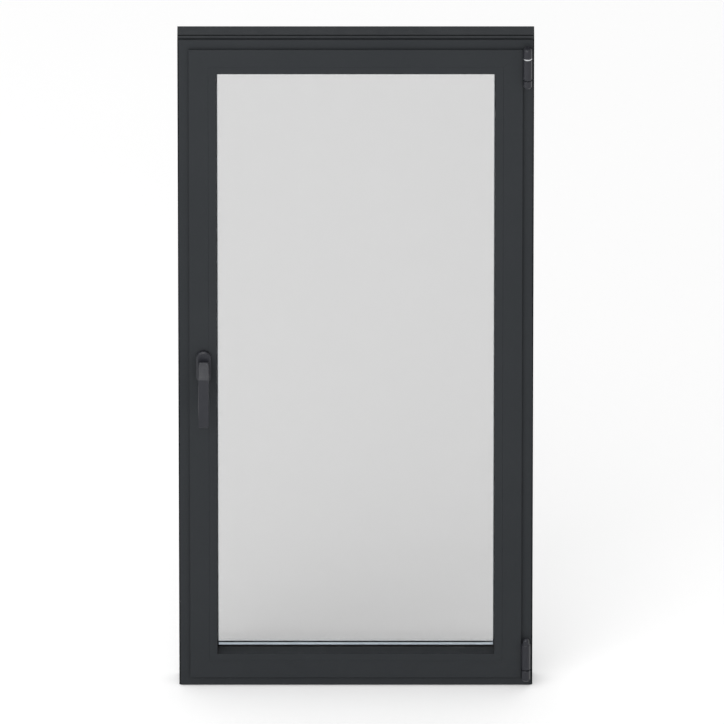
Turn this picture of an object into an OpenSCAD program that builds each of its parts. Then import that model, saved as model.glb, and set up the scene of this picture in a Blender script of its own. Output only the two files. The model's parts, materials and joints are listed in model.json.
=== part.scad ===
// Tilt and turn window with its frame, in thermally broken aluminium.
// The origin is the middle of the frame's underside, the room is towards -Y and +Z is up.
// Sections are drawn as u, the distance in from the frame's outer edge, and y, the depth.

/* [Overall] */
// Width over the frame
frame_w = 700; // [620:1:900]
// Height over the frame
frame_h = 1465; // [1300:1:1700]
// Depth of the frame from the room face to the outside face
frame_d = 52; // [52:0.5:56]

/* [Profiles] */
// Width of the frame that shows beside the sash
frame_show = 22; // [22:0.5:25]
// Width of the sash face from its edge to the glass
sash_face = 54; // [54:0.5:60]
// Distance that the sash face stands in front of the frame face
sash_proud = 6; // [6:0.1:6.6]
// Wall thickness of the aluminium shells
wall = 2; // [1.6:0.1:2.2]
// Depth of the glazing beads behind the sash face
bead_d = 27; // [26:0.5:28]
// Small chamfer on the visible profile edges
edge_c = 0.7; // [0.4:0.1:1]

/* [Glass] */
// Thickness of one pane
pane_t = 4; // [3:0.5:5]
// Distance between the two panes
pane_gap = 12; // [10:0.5:12]

/* [Handle] */
// Height of the spindle above the frame's underside, as a share of the frame height
spindle_share = 0.5; // [0.45:0.01:0.55]
// Length of the lever from the spindle to the tip
lever_l = 112; // [100:1:130]
// Width of the lever grip
lever_w = 21.5; // [19:0.5:22]
// Distance of the lever's middle from the sash face
lever_out = 46; // [40:1:52]
// Width of the rose under the lever
rose_w = 29; // [28:0.5:32]
// Height of the rose under the lever
rose_h = 71; // [68:0.5:76]

/* [Hinges] */
// Radius of the hinge barrels
hinge_r = 8.7; // [8:0.1:8.7]
// Length of the stay arm from the hinge pin to its slider
stay_l = 390; // [360:1:400]

/* [Fits] */
// Radial clearance of turning pins and of the handle neck
run_fit = 0.05; // [0.02:0.01:0.1]
// Clearance between parts that move past each other
gap = 0.3; // [0.3:0.05:0.4]

/* [Hidden] */
$fn = 64;

// Depth positions of the frame and the sash
yr = -frame_d / 2;
yo = frame_d / 2;
ys = yr - sash_proud;
lip_t = 3;
yl = ys + lip_t;

// Positions across the face, from the outer edge inwards
lap = 8;
hw_gap = 10;
body_u = 20;
u_fr = frame_show + lap;
u_sb = u_fr + hw_gap;
u_bd = u_sb + body_u;
u_sl = frame_show + sash_face;
u_up = u_fr + 16;
u_gl = u_bd + 4;

// Insulating bars between the inner and the outer shells
bar_t = 2.2;
bar_in = 2.5;
bar_head = 0.6;
break_f = 16;
break_s = 14;
y_fi = yr + 13.5;
y_fo = y_fi + break_f;
y_si = ys + 23;
y_so = y_si + break_s;
stop_t = 4.5;
y_st = y_so + stop_t;
y_up = y_st + stop_t;
u_bar_f = [5, u_fr - 7];
u_bar_s = [u_sb + 4, u_bd - 4.5];

// Clip groove at the front of the frame's outer side and the open joint behind it
clip_d = 5;
clip_w = 4;
clip_thin = 0.6;
clip_drop = 2.5;
clip_lip = 1.2;
joint_w = 4;

// Hardware groove round the sash
groove_u = [u_sb + 1.5, u_sb + 5.5];
groove_y = [yl + 2, y_si - 3.5];
y_gc = (groove_y[0] + groove_y[1]) / 2;
groove_mouth = 8.5;
cham_u = [u_sb + 7.5, u_bd - wall];
cham_y = [ys + wall, y_si - bar_in - wall];

// Glass unit
seal_in = 3;
seal_out = 2.5;
y_g0 = ys + bead_d + seal_in;
y_g1 = y_g0 + 2 * pane_t + pane_gap;
y_leg = y_g1 + seal_out;
spacer_u = [u_gl + 3, u_sl + 2.4];
leg_u = u_sl + 0.6;
butyl_t = 2;
block_l = 100;

// Hinge axes
leaf_t = 2;
ax = frame_w / 2 - frame_show + 9;
ay = yr - leaf_t - hinge_r - gap;
zb = frame_show;
zh_top = frame_h - frame_show;
tilt_y = ay + 3.5;
tilt_z = zb + 12;
tilt_d = 4;
knuckle_r = 3.2;
band_t = 1.6;
pin_d = 6;
pivot_d = 7;

// Handle drive
hx = -frame_w / 2 + u_sb + 10;
hz = frame_h * spindle_share;
tooth_m = 0.8;
tooth_n = 16;
pitch_r = tooth_m * tooth_n / 2;
pinion_y = [y_gc - 5.2, y_gc + 0.8];
square = 7;
spindle_in = 26;
neck_d = 18;
crown_z = 18.4;
rose_t = 10;
core_t = 7;
rod_u = [groove_u[0] + gap, hx + frame_w / 2 - pitch_r + tooth_m];
rod_y = [groove_y[0] + 0.5, groove_y[1] - 0.5];
rod_travel = PI * pitch_r;
rack_root = rod_u[1] - 2.25 * tooth_m;
cam_d = 7;
cam_u = u_fr + 3;
lock_z = [frame_h * 0.22, frame_h * 0.76];
low_cam_x = -frame_w * 0.05;
drive_l = 64;
rivet_d = 4;
handle_screw = 21.5;

// Stay arm
stay_z = [frame_h - u_sb + 3.5, frame_h - u_sb + 6.5];
stay_x = ax - stay_l;
slider_d = 4;
top_rod_x = [-frame_w / 2 + u_sb + drive_l + rod_travel + 6, stay_x - 36];
top_cam_x = (top_rod_x[0] + top_rod_x[1]) / 2;

// Frame fixing holes
fix_d = 6.5;
fix_y = y_fo + 6.25;
fix_z = [150, frame_h - 150];

// Screws
screw_d = 3.4;
screw_head = 6;

// Helpers for places along the four sides
function xl(u) = -frame_w / 2 + u;
function xr(u) = frame_w / 2 - u;
function flip(pts) = [for (p = pts) [$s * p[0], p[1]]];

module box(a, b) {
    translate(a) cube(b - a);
}

module rect(u, y) {
    polygon(flip([[u[0], y[0]], [u[1], y[0]], [u[1], y[1]], [u[0], y[1]]]));
}

module faced(u, y, c0, c1) {
    polygon(flip([[u[0] + c0, y[0]], [u[1] - c1, y[0]], [u[1], y[0] + c1], [u[1], y[1]],
        [u[0], y[1]], [u[0], y[0] + c0]]));
}

module bar_section(u, y) {
    polygon(flip([[u - bar_head, y[0]], [u + bar_t + bar_head, y[0]], [u + bar_t, y[0] + bar_in],
        [u + bar_t, y[1] - bar_in], [u + bar_t + bar_head, y[1]], [u - bar_head, y[1]],
        [u, y[1] - bar_in], [u, y[0] + bar_in]]));
}

module mitre(side) {
    w = frame_w / 2;
    h = frame_h;
    d = 120;
    pts = side == "left" ? [[-w, 0], [d - w, d], [d - w, h - d], [-w, h]]
        : side == "right" ? [[w, 0], [w, h], [w - d, h - d], [w - d, d]]
        : side == "top" ? [[-w, h], [d - w, h - d], [w - d, h - d], [w, h]]
        : [[-w, 0], [w, 0], [w - d, d], [d - w, d]];
    translate([0, 100, 0]) rotate([90, 0, 0]) linear_extrude(200) polygon(pts);
}

module run(side) {
    $s = side == "right" ? -1 : 1;
    if (side == "left") translate([-frame_w / 2, 0, 0]) linear_extrude(frame_h) children();
    if (side == "right") translate([frame_w / 2, 0, 0]) linear_extrude(frame_h) children();
    if (side == "top") {
        translate([-frame_w / 2, 0, frame_h]) rotate([0, 90, 0]) linear_extrude(frame_w) children();
    }
    if (side == "bottom") {
        translate([frame_w / 2, 0, 0]) rotate([0, -90, 0]) linear_extrude(frame_w) children();
    }
}

module member(side) {
    intersection() {
        run(side) children();
        mitre(side);
    }
}

module ring(u, y) {
    difference() {
        box([xl(u[0]), y[0], u[0]], [xr(u[0]), y[1], frame_h - u[0]]);
        box([xl(u[1]), y[0] - 1, u[1]], [xr(u[1]), y[1] + 1, frame_h - u[1]]);
    }
}

module on_left(z) {
    translate([-frame_w / 2, 0, z]) children();
}

module on_top(x) {
    translate([x, 0, frame_h]) rotate([0, 90, 0]) children();
}

module on_bottom(x) {
    translate([x, 0, 0]) rotate([0, -90, 0]) children();
}

module at_corners() {
    for (mx = [0, 1], mz = [0, 1]) {
        translate([0, 0, mz * frame_h]) mirror([0, 0, mz]) mirror([mx, 0, 0]) children();
    }
}

module along_y(p, d, l) {
    translate(p) rotate([-90, 0, 0]) cylinder(h = l, d = d);
}

module along_x(p, d, l) {
    translate(p) rotate([0, 90, 0]) cylinder(h = l, d = d);
}

// Screws of the hinge leaves, which run into the frame along +Y
hinge_screws = [
    [ax - 4.5, zb + 3.5], [ax + 4.5, zb + 3.5], [ax, zb + 22.5],
    [ax + 2, zh_top - 74], [ax + 2, zh_top - 42], [ax + 2, zh_top - 7]
];

module hinge_screw_set() {
    for (p = hinge_screws) {
        along_y([p[0], yr - leaf_t, p[1]], screw_head, 1.2);
        along_y([p[0], yr - leaf_t, p[1]], screw_d, 7);
    }
}

// Keepers, drawn with u along x and the unlocking stroke towards -z; the ribs stop short of the cams
keeper_t = 2;
keeper_s = [-34, 34];
tilt_keeper_s = [-56, 34];

module keeper_screw_set(s) {
    for (p = [s[0] + 5, s[1] - 5]) {
        translate([u_fr + keeper_t, y_gc, p]) rotate([0, -90, 0]) cylinder(h = 1.4, d = screw_head);
        translate([u_fr + keeper_t, y_gc, p]) rotate([0, -90, 0]) cylinder(h = 8, d = screw_d);
    }
}

module keeper_body(s) {
    free = 3 * gap;
    rib_y = [y_gc - cam_d / 2 - free - 1.5, y_gc - cam_d / 2 - free];
    difference() {
        union() {
            box([u_fr, rib_y[0], s[0]], [u_fr + keeper_t, y_gc + 6, s[1]]);
            box([u_fr, rib_y[0], cam_d / 2 + free], [u_fr + 8, rib_y[1], rod_travel + 4]);
            if (s[0] < -50) {
                box([u_fr, rib_y[0], s[0] + 12], [u_fr + 8, rib_y[1], -rod_travel - cam_d / 2 - free]);
            }
        }
        keeper_screw_set(s);
    }
}

module at_keepers() {
    for (z = lock_z) on_left(z) children();
    on_top(top_cam_x) children();
}

module frame_holes() {
    hinge_screw_set();
    at_keepers() keeper_screw_set(keeper_s);
    on_bottom(low_cam_x) keeper_screw_set(tilt_keeper_s);
}

// Frame shells
module frame_inner_section() {
    difference() {
        faced([0, u_fr], [yr, y_fi], edge_c, edge_c);
        rect([-1, clip_drop], [yr - 1, yr + clip_lip + 0.1]);
        rect([-1, clip_d], [yr + clip_lip, yr + clip_lip + clip_w]);
        rect([clip_thin, clip_d], [yr + clip_lip, yr + clip_lip + clip_w + 2.6]);
        rect([clip_d + wall, u_fr - wall], [yr + wall, y_fi - bar_in - wall]);
        for (u = u_bar_f) bar_section(u, [y_fi - bar_in, y_fo + bar_in]);
    }
}

module frame_inner(side) {
    color("dimgray") difference() {
        member(side) frame_inner_section();
        frame_holes();
    }
}

module frame_outer_section() {
    difference() {
        union() {
            rect([0, u_fr], [y_fo, yo]);
            rect([u_fr - 1, u_up], [y_up, yo]);
            rect([0, clip_thin], [y_fi + joint_w, y_fo + 1]);
        }
        rect([wall, u_fr - wall], [y_fo + bar_in + wall, yo - wall]);
        rect([u_fr, u_up - wall], [y_up + wall, yo - wall]);
        for (u = u_bar_f) bar_section(u, [y_fi - bar_in, y_fo + bar_in]);
    }
}

module fix_holes() {
    for (z = fix_z) {
        along_x([xl(-1), fix_y, z], fix_d, u_fr + 2);
        along_x([xr(u_fr + 1), fix_y, z], fix_d, u_fr + 2);
    }
}

module drain_slots() {
    for (x = [-0.26, 0.26] * frame_w) {
        box([x - 14, yo - wall - 1, 8], [x + 14, yo + 1, 13]);
    }
}

module frame_outer(side) {
    color("dimgray") difference() {
        member(side) frame_outer_section();
        fix_holes();
        drain_slots();
    }
}

module frame_inner_left() { frame_inner("left"); }
module frame_inner_right() { frame_inner("right"); }
module frame_inner_head() { frame_inner("top"); }
module frame_inner_sill() { frame_inner("bottom"); }
module frame_outer_left() { frame_outer("left"); }
module frame_outer_right() { frame_outer("right"); }
module frame_outer_head() { frame_outer("top"); }
module frame_outer_sill() { frame_outer("bottom"); }

module frame_break_bars() {
    color("black") for (side = ["left", "right", "top", "bottom"]) {
        for (u = u_bar_f) member(side) bar_section(u, [y_fi - bar_in, y_fo + bar_in]);
    }
}

// Corner cleats fill the chambers of the inner shells at the mitres
module cleat(u, y, l) {
    box([xl(u[0]), y[0], u[0]], [xl(u[1]), y[1], u[0] + l]);
    box([xl(u[0]), y[0], u[0]], [xl(u[0] + l), y[1], u[1]]);
}

module frame_cleats() {
    color("silver") difference() {
        at_corners() cleat([clip_d + wall, u_fr - wall], [yr + wall, y_fi - bar_in - wall], 80);
        frame_holes();
    }
}

module frame_gasket() {
    tip = y_st + 0.4;
    color("black") for (side = ["left", "right", "top", "bottom"]) {
        member(side) polygon(flip([[u_up - 10, y_up], [u_up - 1, y_up], [u_up - 1, y_up - 1],
            [u_up - 4, tip], [u_up - 7, tip], [u_up - 9, y_up - 1], [u_up - 10, y_up - 1]]));
    }
}

module drain_caps() {
    color("dimgray") for (x = [-0.26, 0.26] * frame_w) difference() {
        union() {
            box([x - 18, yo, 6], [x + 18, yo + 3, 15]);
            for (e = [-18, 18]) along_y([x + e, yo, 10.5], 9, 3);
        }
        box([x - 14, yo - 1, 5], [x + 14, yo + 1.6, 13]);
    }
}

module keepers() {
    color("silver") at_keepers() keeper_body(keeper_s);
}

module tilt_keeper() {
    color("silver") on_bottom(low_cam_x) keeper_body(tilt_keeper_s);
}

module frame_screws() {
    color("silver") frame_holes();
}

// Upper hinge on the frame
cap_z = [zh_top - 14, zh_top + 6];
barrel_z = [zh_top - 64, zh_top - 17.3];
end_z = [zh_top - 82, zh_top - 64 - gap];
washer_t = 2.5;

module top_bracket() {
    color("slategray") difference() {
        union() {
            box([ax - 5, yr - leaf_t, end_z[0]], [ax + 8, yr, cap_z[1]]);
            translate([ax, ay, cap_z[0]]) cylinder(h = cap_z[1] - cap_z[0] - 3, r = hinge_r);
            translate([ax, ay, cap_z[1] - 3]) cylinder(h = 2, r1 = hinge_r, r2 = hinge_r - 1.2);
            translate([ax, ay, cap_z[1] - 1]) cylinder(h = 1, r1 = hinge_r - 1.2, r2 = hinge_r - 3.2);
            translate([ax, ay, end_z[0] + 4]) cylinder(h = end_z[1] - end_z[0] - 4, r = hinge_r - 0.4);
            translate([ax, ay, end_z[0]]) cylinder(h = 4, r1 = hinge_r - 3.4, r2 = hinge_r - 0.4);
            box([ax - 4, ay, cap_z[0]], [ax + 4, yr - 1, cap_z[1] - 3]);
            box([ax - 4, ay, end_z[0] + 4], [ax + 4, yr - 1, end_z[1]]);
        }
        top_pin_body();
        hinge_screw_set();
    }
}

module top_pin_body() {
    translate([ax, ay, end_z[0] + 3]) cylinder(h = cap_z[1] - end_z[0] - 6, d = pin_d);
}

module top_pin() {
    color("silver") top_pin_body();
}

module top_washer() {
    color("lightgray") difference() {
        translate([ax, ay, cap_z[0] - washer_t]) cylinder(h = washer_t, r = hinge_r - 0.2);
        top_pin_body();
    }
}

// Lower hinge on the frame
shelf_z = [zb - 3, zb + 1];

module pivot_pin_body() {
    translate([ax, ay, shelf_z[0] + 0.5]) cylinder(h = 10, d = pivot_d);
}

module bottom_bracket() {
    color("slategray") difference() {
        union() {
            box([ax - 8, yr - leaf_t, shelf_z[0]], [ax + 8, yr, zb + 27]);
            translate([ax, ay, shelf_z[0]]) cylinder(h = 3, r1 = hinge_r - 2.5, r2 = hinge_r);
            translate([ax, ay, shelf_z[0] + 3]) cylinder(h = shelf_z[1] - shelf_z[0] - 3, r = hinge_r);
            box([ax - 6, ay, shelf_z[0]], [ax + 6, yr - 1, shelf_z[1]]);
        }
        box([ax - 9, yr - leaf_t - 1, zb + 7], [ax + 4, yr + 1, zb + 18.5]);
        pivot_pin_body();
        hinge_screw_set();
    }
}

module pivot_pin() {
    color("silver") pivot_pin_body();
}

// Swivel that turns on the pivot pin and carries the level tilt pin
swivel_z = [shelf_z[1] + gap, zb + 21];

module tilt_pin_body() {
    along_x([ax - 7.4, tilt_y, tilt_z], tilt_d, 14.8);
}

module swivel_block() {
    color("slategray") difference() {
        union() {
            translate([ax, ay, swivel_z[0]]) cylinder(h = swivel_z[1] - swivel_z[0] - 1, r = hinge_r);
            translate([ax, ay, swivel_z[1] - 1]) cylinder(h = 1, r1 = hinge_r, r2 = hinge_r - 1);
        }
        translate([ax, ay, swivel_z[0] - 1]) cylinder(h = 8, d = pivot_d + 2 * run_fit);
        box([ax - 5.4, tilt_y - knuckle_r - 1, tilt_z - 4.2], [ax + 3.4, yr, tilt_z + 4.6]);
        box([ax - 10, yl - 1, tilt_z - 4.2], [ax - 5, yr, tilt_z + 4.6]);
        tilt_pin_body();
    }
}

module tilt_pin() {
    color("silver") tilt_pin_body();
}

// Sash shells
module sash_inner_section() {
    difference() {
        union() {
            faced([frame_show, u_bd], [ys, yl], edge_c, 0);
            rect([u_sb, u_bd], [yl - 1, y_si]);
        }
        rect(groove_u, groove_y);
        rect([u_sb - 1, groove_u[0] + 0.1], [y_gc - groove_mouth / 2, y_gc + groove_mouth / 2]);
        rect(cham_u, cham_y);
        bead_foot();
        for (u = u_bar_s) bar_section(u, [y_si - bar_in, y_so + bar_in]);
    }
}

module band_screw_set() {
    for (z = [zb + 38, zb + 53, zb + 68]) {
        translate([ax - 18, yl + band_t, z]) rotate([90, 0, 0]) cylinder(h = 0.9, d = screw_head);
        translate([ax - 18, yl + band_t, z]) rotate([90, 0, 0]) cylinder(h = 3.7, d = screw_d);
    }
}

module handle_screw_set() {
    for (z = [hz - handle_screw, hz + handle_screw]) {
        along_y([hx, ys - core_t + 1, z], 9, 3);
        along_y([hx, ys - core_t + 1, z], 5, 22);
    }
}

module sash_inner(side) {
    color("dimgray") difference() {
        member(side) sash_inner_section();
        if (side == "left") {
            box([xl(groove_u[1] - 1), cham_y[0], hz - 32], [xl(cham_u[0] + 0.5), cham_y[1], hz + 32]);
            for (z = [hz - handle_screw, hz + handle_screw]) along_y([hx, ys - 1, z], 5, wall + 2);
            along_y([hx, ys - 1, hz], 12, wall + 2);
        }
        if (side == "top") {
            box([stay_x - 10, y_gc - groove_mouth / 2, frame_h - cham_u[0] - 1],
                [stay_x + 34, y_gc + groove_mouth / 2, frame_h - groove_u[1] + 1]);
        }
        if (side == "right") band_screw_set();
    }
}

module sash_outer_section() {
    difference() {
        union() {
            rect([u_sb, u_bd], [y_so, y_st]);
            rect([u_sb + 10, u_bd], [y_so, yo]);
            polygon(flip([[u_bd - 1, y_leg], [leg_u, y_leg], [leg_u - 1.5, yo], [u_bd - 1, yo]]));
        }
        rect([u_sb + 10 + wall, u_bd - wall], [y_so + bar_in + wall, yo - wall]);
        for (u = u_bar_s) bar_section(u, [y_si - bar_in, y_so + bar_in]);
    }
}

module sash_outer(side) {
    color("dimgray") member(side) sash_outer_section();
}

module sash_inner_left() { sash_inner("left"); }
module sash_inner_right() { sash_inner("right"); }
module sash_inner_top() { sash_inner("top"); }
module sash_inner_bottom() { sash_inner("bottom"); }
module sash_outer_left() { sash_outer("left"); }
module sash_outer_right() { sash_outer("right"); }
module sash_outer_top() { sash_outer("top"); }
module sash_outer_bottom() { sash_outer("bottom"); }

module sash_break_bars() {
    color("black") for (side = ["left", "right", "top", "bottom"]) {
        for (u = u_bar_s) member(side) bar_section(u, [y_si - bar_in, y_so + bar_in]);
    }
}

module sash_cleats() {
    color("silver") at_corners() cleat(cham_u, cham_y, 90);
}

// Glazing beads clip into the inner shell beside the chamber
module bead_foot() {
    rect([u_bd - 1.6, u_bd + 0.1], [y_si - 4, y_si - 2]);
}

module bead_section() {
    difference() {
        union() {
            faced([u_bd, u_sl], [ys, ys + bead_d], 0.3, edge_c);
            bead_foot();
        }
        rect([u_bd + 1.5, u_sl - 1.5], [ys + 1.5, ys + bead_d - 1.5]);
    }
}

module bead(side) {
    color("dimgray") member(side) bead_section();
}

module bead_left() { bead("left"); }
module bead_right() { bead("right"); }
module bead_top() { bead("top"); }
module bead_bottom() { bead("bottom"); }

// Insulating glass unit
module pane(y) {
    box([xl(u_gl), y, u_gl], [xr(u_gl), y + pane_t, frame_h - u_gl]);
}

module pane_inner() {
    color("lightblue", 0.4) pane(y_g0);
}

module pane_outer() {
    color("lightblue", 0.4) pane(y_g1 - pane_t);
}

module spacer() {
    color("silver") difference() {
        ring(spacer_u, [y_g0 + pane_t + butyl_t, y_g1 - pane_t - butyl_t]);
        ring([spacer_u[0] + 1, spacer_u[1] - 1], [y_g0 + pane_t + butyl_t + 1, y_g1 - pane_t - butyl_t - 1]);
    }
}

module edge_seal() {
    y = [y_g0 + pane_t, y_g1 - pane_t];
    color("black") {
        ring([u_gl, spacer_u[0]], y);
        ring([u_gl, spacer_u[1] - 0.6], [y[0], y[0] + butyl_t]);
        ring([u_gl, spacer_u[1] - 0.6], [y[1] - butyl_t, y[1]]);
    }
}

module setting_blocks() {
    y = [y_g0 + 1, y_g1 - 1];
    half = block_l / 2;
    z = frame_h * 0.17;
    color("darkslategray") {
        for (x = [-0.24, 0.24] * frame_w) box([x - half, y[0], u_bd], [x + half, y[1], u_gl]);
        box([xl(u_bd), y[0], frame_h - z - half], [xl(u_gl), y[1], frame_h - z + half]);
        box([xr(u_gl), y[0], z - half], [xr(u_bd), y[1], z + half]);
    }
}

module gasket_inner() {
    color("black") ring([u_sl - 8, u_sl - 0.4], [y_g0 - seal_in, y_g0]);
}

module gasket_outer() {
    color("black") ring([u_gl + 2, leg_u - 0.5], [y_g1, y_leg]);
}

// Seal behind the sash lip, left out where the hinge parts pass
module lip_gasket() {
    u = [frame_show + 2, u_fr - 0.5];
    far = yr - 0.4;
    near = yr - 1.5;
    color("black") difference() {
        union() {
            difference() {
                ring(u, [yl, far]);
                box([xl(0), near, 0], [xr(0), yo, tilt_z + 2]);
            }
        }
        box([xr(u[1]) - 0.1, yl - 1, u[1] + 0.1], [xr(0), yo, zb + 80]);
        box([ax - 24, yl - 1, zh_top - 54], [xr(0), yo, frame_h]);
    }
}

// Sash part of the lower hinge
low_barrel_z = [zb + 24, zb + 79];

module bottom_band() {
    color("slategray") difference() {
        union() {
            translate([ax, ay, low_barrel_z[0]]) {
                cylinder(h = low_barrel_z[1] - low_barrel_z[0] - 1, r = hinge_r);
            }
            translate([ax, ay, low_barrel_z[1] - 1]) cylinder(h = 1, r1 = hinge_r, r2 = hinge_r - 1);
            translate([ax, ay, low_barrel_z[1]]) cylinder(h = 9, r1 = hinge_r - 1.7, r2 = hinge_r - 2.4);
            translate([ax, ay, low_barrel_z[1] + 9]) cylinder(h = 4, r1 = hinge_r - 2.4, r2 = 2.5);
            box([xr(frame_show), ys, low_barrel_z[0] + 6], [ax - 4, yl + band_t, low_barrel_z[1] - 2]);
            box([xr(frame_show), ay, low_barrel_z[0] + 6], [ax - 4, yl, low_barrel_z[1] - 2]);
            box([xr(u_sb), yl, tilt_z - knuckle_r], [xr(frame_show), yl + band_t, low_barrel_z[1] - 2]);
            box([xr(frame_show) - 1, yl, tilt_z - knuckle_r], [ax, yl + band_t, tilt_z + knuckle_r]);
            box([ax - 5, tilt_y, tilt_z - knuckle_r], [ax + 3, yl + band_t, tilt_z + knuckle_r]);
            along_x([ax - 5, tilt_y, tilt_z], 2 * knuckle_r, 8);
        }
        along_x([ax - 20, tilt_y, tilt_z], tilt_d + 2 * run_fit, 40);
        band_screw_set();
    }
}

module band_screws() {
    color("silver") band_screw_set();
}

// Gear case in the left stile, with a window towards the rack
case_u = groove_u[1] + 0.4;

module gearbox() {
    color("slategray") difference() {
        box([xl(case_u), cham_y[0], hz - 30], [xl(cham_u[1]), cham_y[1], hz + 30]);
        along_y([hx, pinion_y[0] - 0.4, hz], 2 * pitch_r + 2 * tooth_m + 0.6, 6.8);
        along_y([hx, ys, hz], square * sqrt(2) + 0.7, 40);
        handle_screw_set();
    }
}

// Housings that lead the drive round the two left corners
module corner_drive() {
    y = [groove_y[0], groove_y[1]];
    box([xl(groove_u[0]), y[0], groove_u[0]], [xl(groove_u[1]), y[1], groove_u[0] + drive_l]);
    box([xl(groove_u[0]), y[0], groove_u[0]], [xl(groove_u[0] + drive_l), y[1], groove_u[1]]);
}

module corner_drives() {
    color("slategray") {
        corner_drive();
        translate([0, 0, frame_h]) mirror([0, 0, 1]) corner_drive();
    }
}

// Rose of the handle
module stadium(w, h, y0, t, c) {
    r = w / 2;
    for (s = [-1, 1]) {
        translate([hx, y0, hz + s * (h / 2 - r)]) rotate([90, 0, 0]) {
            cylinder(h = t - c, r = r);
            translate([0, 0, t - c]) cylinder(h = c, r1 = r, r2 = r - c);
        }
    }
    translate([hx, 0, hz - h / 2 + r]) linear_extrude(h - w) {
        polygon([[-r, y0], [r, y0], [r, y0 - t + c], [r - c, y0 - t], [c - r, y0 - t], [-r, y0 - t + c]]);
    }
}

module handle_base() {
    color("slategray") difference() {
        stadium(rose_w - 5, rose_h - 5, ys, core_t, 0.2);
        along_y([hx, ys - core_t - 1, hz], neck_d + 2 * run_fit, core_t + 2);
        handle_screw_set();
    }
}

module handle_cover() {
    color("slategray") difference() {
        stadium(rose_w, rose_h, ys, rose_t, 3);
        stadium(rose_w - 5, rose_h - 5, ys + 0.01, core_t + 0.01, 0.2);
        along_y([hx, ys - rose_t - 1, hz], neck_d + 2 * gap, rose_t + 2);
    }
}

module handle_screws() {
    color("silver") handle_screw_set();
}

// Lever with a bevelled crown and a flat, softly bowed grip, cut from its side, front and plan outlines
function arc(c, r, a, b) = [for (i = [0 : 8]) c + r * [cos(a + (b - a) * i / 8), sin(a + (b - a) * i / 8)]];

module lever_side(low) {
    root = rose_t + 0.6;
    pts = concat([[root, -9.2], [root, crown_z - 5], [root + 6.5, crown_z], [root + 9, crown_z - 0.2],
        [lever_out + 4, 0.8], [lever_out + 6.8, -3.6], [lever_out + 7.6, low * 0.55]],
        arc([lever_out + 0.4, low + 5.8], 5.8, 0, -180), [[lever_out - 6, low * 0.55], [lever_out - 6.8, -24]]);
    translate([hx - lever_w, ys, hz]) rotate([90, 0, 90]) linear_extrude(2 * lever_w) {
        polygon([for (q = pts) [-q[0], q[1]]]);
    }
}

module lever_front(low) {
    w = lever_w / 2;
    end = w - 1;
    half = concat(arc([w - 5, crown_z - 4.2], 4.2, 90, 0), [[w - 0.3, -24], [w, low * 0.55]],
        arc([end - 6, low + 6], 6, 0, -90));
    other = [for (i = [len(half) - 1 : -1 : 0]) [-half[i][0], half[i][1]]];
    translate([hx, ys, hz]) rotate([90, 0, 0]) linear_extrude(lever_out + 10) polygon(concat(half, other));
}

module lever_plan(low) {
    w = lever_w / 2;
    front = lever_out + 7.6;
    translate([hx, ys, hz + low - 1]) linear_extrude(40 - low) {
        polygon([[-w, 0], [w, 0], [w, 2.2 - front], [w - 0.7, 0.7 - front], [w - 2.2, -front],
            [2.2 - w, -front], [0.7 - w, 0.7 - front], [-w, 2.2 - front]]);
    }
}

module handle_lever() {
    low = -lever_l - 2;
    color("slategray") difference() {
        union() {
            along_y([hx, ys - rose_t - 1.5, hz], neck_d, rose_t + 0.9);
            intersection() {
                lever_side(low);
                lever_front(low);
                lever_plan(low);
            }
        }
        box([hx - square / 2, ys - spindle_in, hz - square / 2], [hx + square / 2, ys, hz + square / 2]);
    }
}

module spindle() {
    s = square / 2;
    color("silver") box([hx - s, ys - spindle_in, hz - s], [hx + s, cham_y[1] - 1.5, hz + s]);
}

// Pinion teeth, one of which points to the rack at rest
function polar(r, a) = [r * cos(a), r * sin(a)];
tooth_r = [pitch_r - 1.35 * tooth_m, pitch_r, pitch_r + 0.9 * tooth_m];
tooth_a = [119, 70, 29.4] / tooth_n;

module pinion() {
    pts = [for (i = [0 : tooth_n - 1]) let (a = 180 + i * 360 / tooth_n) each [
        polar(tooth_r[0], a - tooth_a[0]), polar(tooth_r[1], a - tooth_a[1]),
        polar(tooth_r[2], a - tooth_a[2]), polar(tooth_r[2], a + tooth_a[2]),
        polar(tooth_r[1], a + tooth_a[1]), polar(tooth_r[0], a + tooth_a[0])]];
    color("silver") difference() {
        translate([hx, pinion_y[1], hz]) rotate([90, 0, 0]) {
            linear_extrude(pinion_y[1] - pinion_y[0]) polygon(pts);
        }
        spindle();
    }
}

// Drive rods, drawn with u along x and the unlocking stroke towards -z
module cam(rivet) {
    translate([rod_u[0], y_gc, 0]) rotate([0, -90, 0]) cylinder(h = rod_u[0] - cam_u, d = cam_d);
    translate([rod_u[0] - 0.1, y_gc, 0]) rotate([0, 90, 0]) cylinder(h = rivet + 0.1, d = rivet_d);
}

module rod(s) {
    box([rod_u[0], rod_y[0], s[0]], [rod_u[1], rod_y[1], s[1]]);
}

module rack_tooth(z) {
    w = [1.05, 0.6, 0.25] * tooth_m;
    root = rack_root - 0.2;
    tip = rod_u[1];
    translate([-frame_w / 2, pinion_y[1] + 0.4, z]) rotate([90, 0, 0]) {
        linear_extrude(pinion_y[1] - pinion_y[0] + 0.8) {
            polygon([[root, -w[0]], [tip - tooth_m, -w[1]], [tip, -w[2]], [tip, w[2]],
                [tip - tooth_m, w[1]], [root, w[0]]]);
        }
    }
}

module lock_rod() {
    z = [u_sb + drive_l + rod_travel + 6, frame_h - u_sb - drive_l - 6];
    pitch = PI * tooth_m;
    color("silver") {
        difference() {
            on_left(0) rod(z);
            box([xl(rack_root), pinion_y[0] - 0.4, hz - pitch_r - 2],
                [xl(rod_u[1] + 1), pinion_y[1] + 0.4, hz + rod_travel + pitch_r + 2]);
            for (c = lock_z) on_left(c) cam(10);
        }
        for (k = [-3 : 10]) rack_tooth(hz + (k + 0.5) * pitch);
    }
}

module lock_cams() {
    color("silver") for (z = lock_z) on_left(z) cam(2);
}

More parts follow.
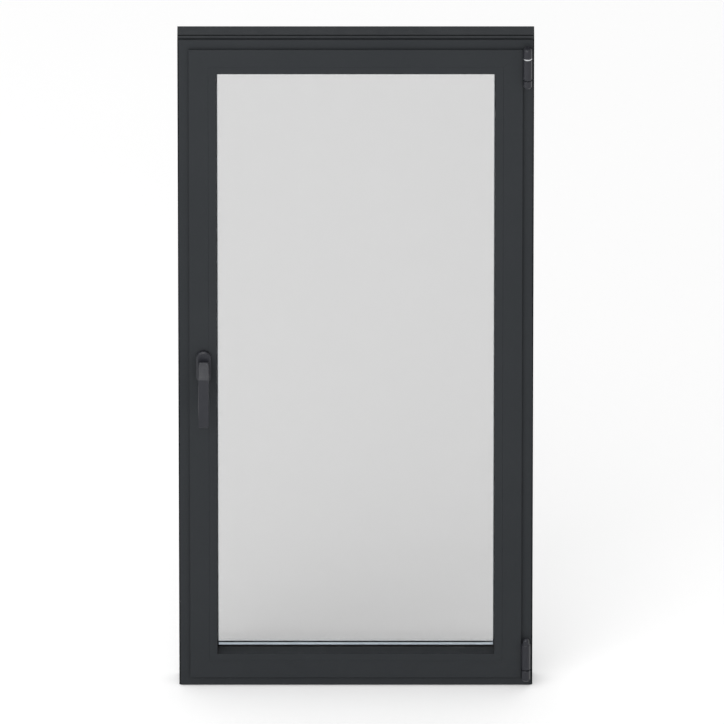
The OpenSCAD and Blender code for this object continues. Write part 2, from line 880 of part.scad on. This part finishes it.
module top_rod() {
    color("silver") {
        on_top(0) rod(top_rod_x);
        on_top(top_cam_x) cam(1);
    }
}

module bottom_rod() {
    left = -frame_w / 2 + u_sb + drive_l + 6;
    color("silver") {
        on_bottom(0) rod([-frame_w * 0.14, -left]);
        on_bottom(low_cam_x) cam(1);
    }
}

// Stay arm between the upper hinge pin and the groove on top of the sash
module stay_arm() {
    color("silver") difference() {
        union() {
            translate([ax, ay, barrel_z[0]]) cylinder(h = 3, r1 = hinge_r - 1.8, r2 = hinge_r);
            translate([ax, ay, barrel_z[0] + 3]) cylinder(h = barrel_z[1] - barrel_z[0] - 3, r = hinge_r);
            box([ax - 8.5, ay, zh_top - 48], [ax - 5.4, yr - 0.8, zh_top - 20]);
            box([ax - 21, yl + 0.4, zh_top - 48], [ax - 5.4, yr - 0.8, stay_z[1]]);
            box([ax - 21, yl + 0.4, stay_z[0]], [ax - 18, y_gc + 7, stay_z[1]]);
            box([stay_x, y_gc - 7, stay_z[0]], [ax - 18, y_gc + 7, stay_z[1]]);
            translate([stay_x, y_gc, stay_z[0]]) cylinder(h = stay_z[1] - stay_z[0], d = 14);
        }
        translate([ax, ay, barrel_z[0] - 1]) cylinder(h = 100, d = pin_d + 2 * run_fit);
        stay_slider_body();
    }
}

module stay_slider_body() {
    low = frame_h - cham_u[1] + 2;
    translate([stay_x, y_gc, low]) cylinder(h = stay_z[1] - low, d = slider_d);
    translate([stay_x, y_gc, stay_z[1] - 1.5]) cylinder(h = 2.5, d = 8);
}

module stay_slider() {
    color("silver") stay_slider_body();
}

frame_inner_left();
frame_inner_right();
frame_inner_head();
frame_inner_sill();
frame_outer_left();
frame_outer_right();
frame_outer_head();
frame_outer_sill();
frame_break_bars();
frame_cleats();
frame_gasket();
drain_caps();
keepers();
tilt_keeper();
frame_screws();
top_bracket();
top_pin();
top_washer();
bottom_bracket();
pivot_pin();
swivel_block();
tilt_pin();
sash_inner_left();
sash_inner_right();
sash_inner_top();
sash_inner_bottom();
sash_outer_left();
sash_outer_right();
sash_outer_top();
sash_outer_bottom();
sash_break_bars();
sash_cleats();
bead_left();
bead_right();
bead_top();
bead_bottom();
pane_inner();
pane_outer();
spacer();
edge_seal();
setting_blocks();
gasket_inner();
gasket_outer();
lip_gasket();
bottom_band();
band_screws();
gearbox();
corner_drives();
handle_base();
handle_cover();
handle_screws();
handle_lever();
spindle();
pinion();
lock_rod();
lock_cams();
top_rod();
bottom_rod();
stay_arm();
stay_slider();
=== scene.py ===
"""Studio scene of the tilt and turn window: finishes, light and the photograph's camera."""
import json
import math

import bpy
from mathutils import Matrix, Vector


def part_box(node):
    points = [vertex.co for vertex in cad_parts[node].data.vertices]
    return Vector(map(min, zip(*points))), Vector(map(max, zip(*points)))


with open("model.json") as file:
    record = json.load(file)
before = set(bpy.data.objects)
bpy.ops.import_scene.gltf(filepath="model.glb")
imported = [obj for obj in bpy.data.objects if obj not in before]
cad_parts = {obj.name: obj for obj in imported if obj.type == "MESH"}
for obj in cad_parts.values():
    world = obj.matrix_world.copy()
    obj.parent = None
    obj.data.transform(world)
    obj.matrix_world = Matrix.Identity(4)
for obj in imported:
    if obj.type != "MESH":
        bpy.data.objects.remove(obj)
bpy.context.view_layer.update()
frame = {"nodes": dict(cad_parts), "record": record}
nodes = frame["nodes"]

# The photograph's view, read from its 724 pixel square frame.
PHOTO_PX = 724
M_PER_PX = 0.0019718
VIEW_ELEVATION = math.radians(29.5)
VIEW_DISTANCE = 60.0
CENTRE_PX = 355.8
FOOT_PX = 687.65
SENSOR_MM = 36.0
CLIP_NEAR = 1.0
CLIP_FAR = 1000.0

# Colours as linear light, close to how they look under the studio light.
COAT = (0.0274, 0.0302, 0.0333)
COAT_LIGHT = (0.0328, 0.0357, 0.0390)
COAT_FLECK = (0.0900, 0.0950, 0.1000)
HARDWARE = (0.0220, 0.0231, 0.0285)
HARDWARE_LIGHT = (0.0268, 0.0279, 0.0338)
RUBBER = (0.0150, 0.0150, 0.0160)
RUBBER_LIGHT = (0.0250, 0.0250, 0.0262)
POLYAMIDE = (0.0090, 0.0090, 0.0095)
POLYAMIDE_LIGHT = (0.0200, 0.0200, 0.0205)
ALUMINIUM = (0.62, 0.70, 0.78)
ALUMINIUM_LIGHT = (0.74, 0.82, 0.90)
ZINC = (0.50, 0.51, 0.53)
ZINC_LIGHT = (0.66, 0.67, 0.68)
CAST = (0.20, 0.205, 0.21)
CAST_LIGHT = (0.30, 0.305, 0.31)
GLASS_TINT = (0.797, 0.797, 0.797)
GLASS_SHADE = (0.80, 0.80, 0.80)
FLOOR = (0.965, 0.965, 0.965)
FLOOR_LIGHT = (0.975, 0.975, 0.975)
WHITE = (1.0, 1.0, 1.0, 1.0)

# Part of a noise's range that holds most of its values.
NOISE_LOW = 0.3
NOISE_HIGH = 0.7

# Floor and surround. The glow is for the eye only, the sky level for light only.
FLOOR_SIZE = 60.0
FLOOR_GLOW = 0.18
SKY_LIGHT = 0.76

# Lamps in metres and watts. Those off the matt surfaces only give gloss.
WINDOW_MIDDLE = (0.0, 0.0, 0.7)
SOFTBOXES = (
    dict(name="key", place=(-1.8, -3.6, 3.4), aim=WINDOW_MIDDLE,
         size=(5.0, 2.0), power=102.0, on_matt=True),
    dict(name="front_top", place=(-0.4, -2.2, 4.2), aim=WINDOW_MIDDLE,
         size=(3.0, 2.0), power=60.0, on_matt=False),
    dict(name="overhead", place=(-0.2, -0.3, 4.6), aim=(-0.2, -0.1, 0.7),
         size=(1.2, 1.2), power=36.0, on_matt=False),
)


class Nodes:
    """Small builder for one node material."""

    def __init__(self, name):
        self.material = bpy.data.materials.new(name)
        self.material.use_nodes = True
        self.tree = self.material.node_tree
        self.shader = self.tree.nodes["Principled BSDF"]
        self.output = self.tree.nodes["Material Output"]
        self.place = self.add("ShaderNodeTexCoord").outputs["Object"]

    def add(self, kind, **settings):
        """A new node with its settings."""
        made = self.tree.nodes.new(kind)
        for key, value in settings.items():
            setattr(made, key, value)
        return made

    def link(self, source, target):
        """Joins an output to an input."""
        self.tree.links.new(source, target)

    def stretched(self, scale):
        """Object coordinates scaled along each axis."""
        mapping = self.add("ShaderNodeMapping")
        mapping.inputs["Scale"].default_value = scale
        self.link(self.place, mapping.inputs["Vector"])
        return mapping.outputs["Vector"]

    def noise(self, scale, detail=3.0, vector=None):
        """Soft random pattern."""
        made = self.add("ShaderNodeTexNoise")
        made.inputs["Scale"].default_value = scale
        made.inputs["Detail"].default_value = detail
        self.link(vector or self.place, made.inputs["Vector"])
        return made.outputs["Fac"]

    def cells(self, scale):
        """Distance to the nearest of many scattered points."""
        made = self.add("ShaderNodeTexVoronoi")
        made.inputs["Scale"].default_value = scale
        self.link(self.place, made.inputs["Vector"])
        return made.outputs["Distance"]

    def ramp(self, source, low, high, first, last):
        """Maps low to high onto first to last."""
        made = self.add("ShaderNodeMapRange")
        for key, value in zip(("From Min", "From Max", "To Min", "To Max"), (low, high, first, last)):
            made.inputs[key].default_value = value
        self.link(source, made.inputs["Value"])
        return made.outputs["Result"]

    def spread(self, noise, first=0.0, last=1.0):
        """Maps the busy part of a noise onto first to last."""
        return self.ramp(noise, NOISE_LOW, NOISE_HIGH, first, last)

    def blend(self, factor, first, second):
        """Mixes two colours, each a tuple or a node's output."""
        made = self.add("ShaderNodeMix", data_type="RGBA")
        for key, value in (("A", first), ("B", second)):
            socket = next(s for s in made.inputs if s.name == key and s.type == "RGBA")
            if isinstance(value, tuple):
                socket.default_value = (*value, 1.0)
            else:
                self.link(value, socket)
        self.link(factor, made.inputs["Factor"])
        return next(s for s in made.outputs if s.type == "RGBA")

    def bump(self, height, depth, strength, normal=None):
        """Surface relief of the given depth in metres."""
        made = self.add("ShaderNodeBump")
        made.inputs["Strength"].default_value = strength
        made.inputs["Distance"].default_value = depth
        self.link(height, made.inputs["Height"])
        if normal:
            self.link(normal, made.inputs["Normal"])
        return made.outputs["Normal"]

    def soft_edges(self, radius):
        """Shades edges as if they were rounded."""
        made = self.add("ShaderNodeBevel", samples=6)
        made.inputs["Radius"].default_value = radius
        return made.outputs["Normal"]

    def set(self, **values):
        """Sets values of the shader, with _ for a space in their names."""
        for key, value in values.items():
            self.shader.inputs[key.replace("_", " ")].default_value = value

    def finish(self, colour=None, roughness=None, normal=None):
        """Joins what is given to the shader."""
        for key, source in (("Base Color", colour), ("Roughness", roughness), ("Normal", normal)):
            if source:
                self.link(source, self.shader.inputs[key])
        return self.material


def powder_coat():
    """Fine-textured powder coat: a pebbled skin with faint cloudiness and tiny lighter flecks."""
    m = Nodes("powder_coat")
    cloud = m.spread(m.noise(scale=5.0, detail=4.0), 0.25, 0.75)
    base = m.blend(cloud, COAT, COAT_LIGHT)
    fleck = m.ramp(m.cells(scale=1400.0), low=0.0, high=0.22, first=0.8, last=0.0)
    colour = m.blend(fleck, base, COAT_FLECK)
    edges = m.soft_edges(radius=0.0006)
    peel = m.bump(m.noise(scale=160.0, detail=2.0), depth=0.00006, strength=0.35, normal=edges)
    normal = m.bump(m.noise(scale=1100.0, detail=2.0), depth=0.00022, strength=0.85, normal=peel)
    roughness = m.spread(m.noise(scale=40.0), 0.54, 0.66)
    m.set(IOR=1.48, Specular_IOR_Level=0.08)
    return m.finish(colour, roughness, normal)


def lacquer():
    """Smooth lacquer on the handle and the hinges, with a slight orange peel."""
    m = Nodes("hardware_lacquer")
    cloud = m.spread(m.noise(scale=30.0), 0.1, 0.9)
    colour = m.blend(cloud, HARDWARE, HARDWARE_LIGHT)
    edges = m.soft_edges(radius=0.0009)
    peel = m.bump(m.noise(scale=420.0, detail=2.0), depth=0.00004, strength=0.3, normal=edges)
    normal = m.bump(m.noise(scale=2200.0, detail=1.0), depth=0.00001, strength=0.2, normal=peel)
    roughness = m.spread(m.noise(scale=90.0), 0.32, 0.40)
    m.set(IOR=1.5, Specular_IOR_Level=0.22)
    return m.finish(colour, roughness, normal)


def rubber():
    """Matt seal rubber with a dusty bloom and a fine grain."""
    m = Nodes("seal_rubber")
    bloom = m.ramp(m.noise(scale=60.0, detail=5.0), low=0.35, high=0.7, first=0.0, last=1.0)
    colour = m.blend(bloom, RUBBER, RUBBER_LIGHT)
    edges = m.soft_edges(radius=0.0003)
    normal = m.bump(m.noise(scale=1500.0, detail=2.0), depth=0.00004, strength=0.4, normal=edges)
    roughness = m.spread(m.noise(scale=200.0), 0.68, 0.86)
    return m.finish(colour, roughness, normal)


def polyamide():
    """Black glass-filled plastic with drawn-out fibre flecks."""
    m = Nodes("polyamide")
    drawn = m.stretched((1.0, 0.12, 0.12))
    fibre = m.ramp(m.noise(scale=900.0, vector=drawn), low=0.55, high=0.75, first=0.0, last=1.0)
    colour = m.blend(fibre, POLYAMIDE, POLYAMIDE_LIGHT)
    normal = m.bump(m.noise(scale=700.0), depth=0.00005, strength=0.4)
    roughness = m.spread(m.noise(scale=120.0), 0.5, 0.7)
    return m.finish(colour, roughness, normal)


def mill_aluminium():
    """Bare drawn aluminium with fine die lines."""
    m = Nodes("mill_aluminium")
    lines = m.noise(scale=2600.0, detail=2.0, vector=m.stretched((0.02, 1.0, 0.02)))
    cloud = m.spread(m.noise(scale=18.0, detail=4.0))
    colour = m.blend(cloud, ALUMINIUM, ALUMINIUM_LIGHT)
    normal = m.bump(lines, depth=0.00002, strength=0.35, normal=m.soft_edges(radius=0.0003))
    roughness = m.spread(lines, 0.26, 0.42)
    m.set(Metallic=1.0)
    return m.finish(colour, roughness, normal)


def zinc_plate():
    """Zinc-plated steel with a faint crystal pattern."""
    m = Nodes("zinc_plate")
    crystal = m.ramp(m.cells(scale=260.0), low=0.0, high=0.9, first=0.0, last=1.0)
    colour = m.blend(crystal, ZINC, ZINC_LIGHT)
    edges = m.soft_edges(radius=0.0004)
    normal = m.bump(m.noise(scale=900.0), depth=0.00002, strength=0.3, normal=edges)
    roughness = m.spread(m.noise(scale=70.0, detail=4.0), 0.28, 0.46)
    m.set(Metallic=1.0)
    return m.finish(colour, roughness, normal)


def die_cast():
    """Die-cast zinc with flow marks."""
    m = Nodes("die_cast")
    flow = m.noise(scale=80.0, detail=6.0, vector=m.stretched((1.0, 1.0, 0.35)))
    colour = m.blend(m.spread(flow), CAST, CAST_LIGHT)
    edges = m.soft_edges(radius=0.0004)
    normal = m.bump(m.noise(scale=500.0, detail=4.0), depth=0.00006, strength=0.5, normal=edges)
    roughness = m.spread(flow, 0.42, 0.6)
    m.set(Metallic=0.85)
    return m.finish(colour, roughness, normal)


def float_glass():
    """Clear float glass: it refracts, and lets the studio light through to the floor."""
    m = Nodes("float_glass")
    m.set(Base_Color=(*GLASS_TINT, 1.0), Roughness=0.0, IOR=1.52, Transmission_Weight=1.0)
    wave = m.bump(m.noise(scale=6.0, detail=1.0), depth=0.00002, strength=0.03)
    m.link(wave, m.shader.inputs["Normal"])
    clear = m.add("ShaderNodeBsdfTransparent")
    clear.inputs["Color"].default_value = (*GLASS_SHADE, 1.0)
    pick = m.add("ShaderNodeMixShader")
    path = m.add("ShaderNodeLightPath")
    soft = m.add("ShaderNodeMath", operation="MAXIMUM")
    m.link(path.outputs["Is Shadow Ray"], soft.inputs[0])
    m.link(path.outputs["Is Diffuse Ray"], soft.inputs[1])
    m.link(soft.outputs["Value"], pick.inputs["Fac"])
    m.link(m.shader.outputs["BSDF"], pick.inputs[1])
    m.link(clear.outputs["BSDF"], pick.inputs[2])
    m.link(pick.outputs["Shader"], m.output.inputs["Surface"])
    return m.material


FINISHES = {
    "coated_aluminium": powder_coat(),
    "hardware_coated": lacquer(),
    "glass": float_glass(),
    "rubber": rubber(),
    "polyamide": polyamide(),
    "bare_aluminium": mill_aluminium(),
    "zinc_steel": zinc_plate(),
    "zinc_die_cast": die_cast(),
}


def dress_nodes():
    """Gives every CAD node the finish of its material slot."""
    for part in frame["record"]["subparts"]:
        mesh = nodes[part["node"]].data
        mesh.materials.clear()
        mesh.materials.append(FINISHES[part["material_slot"]])


def seen_directly(tree):
    """1 for rays that show a surface to the eye, also through glass or mirrored, and 0 for light."""
    path = tree.nodes.new("ShaderNodeLightPath")
    seen = path.outputs["Is Camera Ray"]
    for kind in ("Is Glossy Ray", "Is Transmission Ray"):
        either = tree.nodes.new("ShaderNodeMath")
        either.operation = "MAXIMUM"
        tree.links.new(seen, either.inputs[0])
        tree.links.new(path.outputs[kind], either.inputs[1])
        seen = either.outputs["Value"]
    return seen


def make_floor():
    """Wide pale studio floor, a little whiter to the eye than as a light."""
    m = Nodes("studio_floor")
    colour = m.blend(m.spread(m.noise(scale=0.8, detail=2.0)), FLOOR, FLOOR_LIGHT)
    m.set(Specular_IOR_Level=0.0, Roughness=1.0, Emission_Color=WHITE)
    glow = m.ramp(seen_directly(m.tree), low=0.0, high=1.0, first=0.0, last=FLOOR_GLOW)
    m.link(glow, m.shader.inputs["Emission Strength"])
    bpy.ops.mesh.primitive_plane_add(size=FLOOR_SIZE, location=(0.0, 0.0, 0.0))
    floor = bpy.context.object
    floor.name = "studio_floor"
    floor.data.materials.append(m.finish(colour))


def make_world():
    """White surround: dimmer as a light than as a background."""
    world = bpy.data.worlds.new("studio_world")
    world.use_nodes = True
    bpy.context.scene.world = world
    tree = world.node_tree
    sky = tree.nodes["Background"]
    sky.inputs["Color"].default_value = WHITE
    level = tree.nodes.new("ShaderNodeMapRange")
    level.inputs["To Min"].default_value = SKY_LIGHT
    level.inputs["To Max"].default_value = 1.0
    tree.links.new(seen_directly(tree), level.inputs["Value"])
    tree.links.new(level.outputs["Result"], sky.inputs["Strength"])


def make_softbox(name, place, aim, size, power, on_matt):
    """Rectangular lamp that faces its aim."""
    lamp = bpy.data.lights.new(name, "AREA")
    lamp.shape = "RECTANGLE"
    lamp.size, lamp.size_y = size
    lamp.energy = power
    holder = bpy.data.objects.new(name, lamp)
    holder.visible_diffuse = on_matt
    holder.location = place
    holder.rotation_euler = (Vector(aim) - Vector(place)).to_track_quat("-Z", "Y").to_euler()
    bpy.context.scene.collection.objects.link(holder)


def make_camera():
    """Long lens from above, so that the frame's top face shows and the sides stay parallel."""
    foot = Vector((0.0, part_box("frame_inner_sill")[0][1], 0.0))
    across = (PHOTO_PX / 2 - CENTRE_PX) * M_PER_PX
    up = (FOOT_PX - PHOTO_PX / 2) * M_PER_PX / math.cos(VIEW_ELEVATION)
    target = foot + Vector((across, 0.0, up))
    back = Vector((0.0, -math.cos(VIEW_ELEVATION), math.sin(VIEW_ELEVATION)))
    lens = bpy.data.cameras.new("photo_camera")
    lens.sensor_fit = "HORIZONTAL"
    lens.sensor_width = SENSOR_MM
    lens.lens = SENSOR_MM * VIEW_DISTANCE / (PHOTO_PX * M_PER_PX)
    lens.clip_start = CLIP_NEAR
    lens.clip_end = CLIP_FAR
    holder = bpy.data.objects.new("photo_camera", lens)
    holder.location = target + back * VIEW_DISTANCE
    holder.rotation_euler = (-back).to_track_quat("-Z", "Y").to_euler()
    bpy.context.scene.collection.objects.link(holder)
    bpy.context.scene.camera = holder


dress_nodes()
make_floor()
make_world()
for softbox in SOFTBOXES:
    make_softbox(**softbox)
make_camera()

bpy.context.scene.view_settings.view_transform = "Standard"
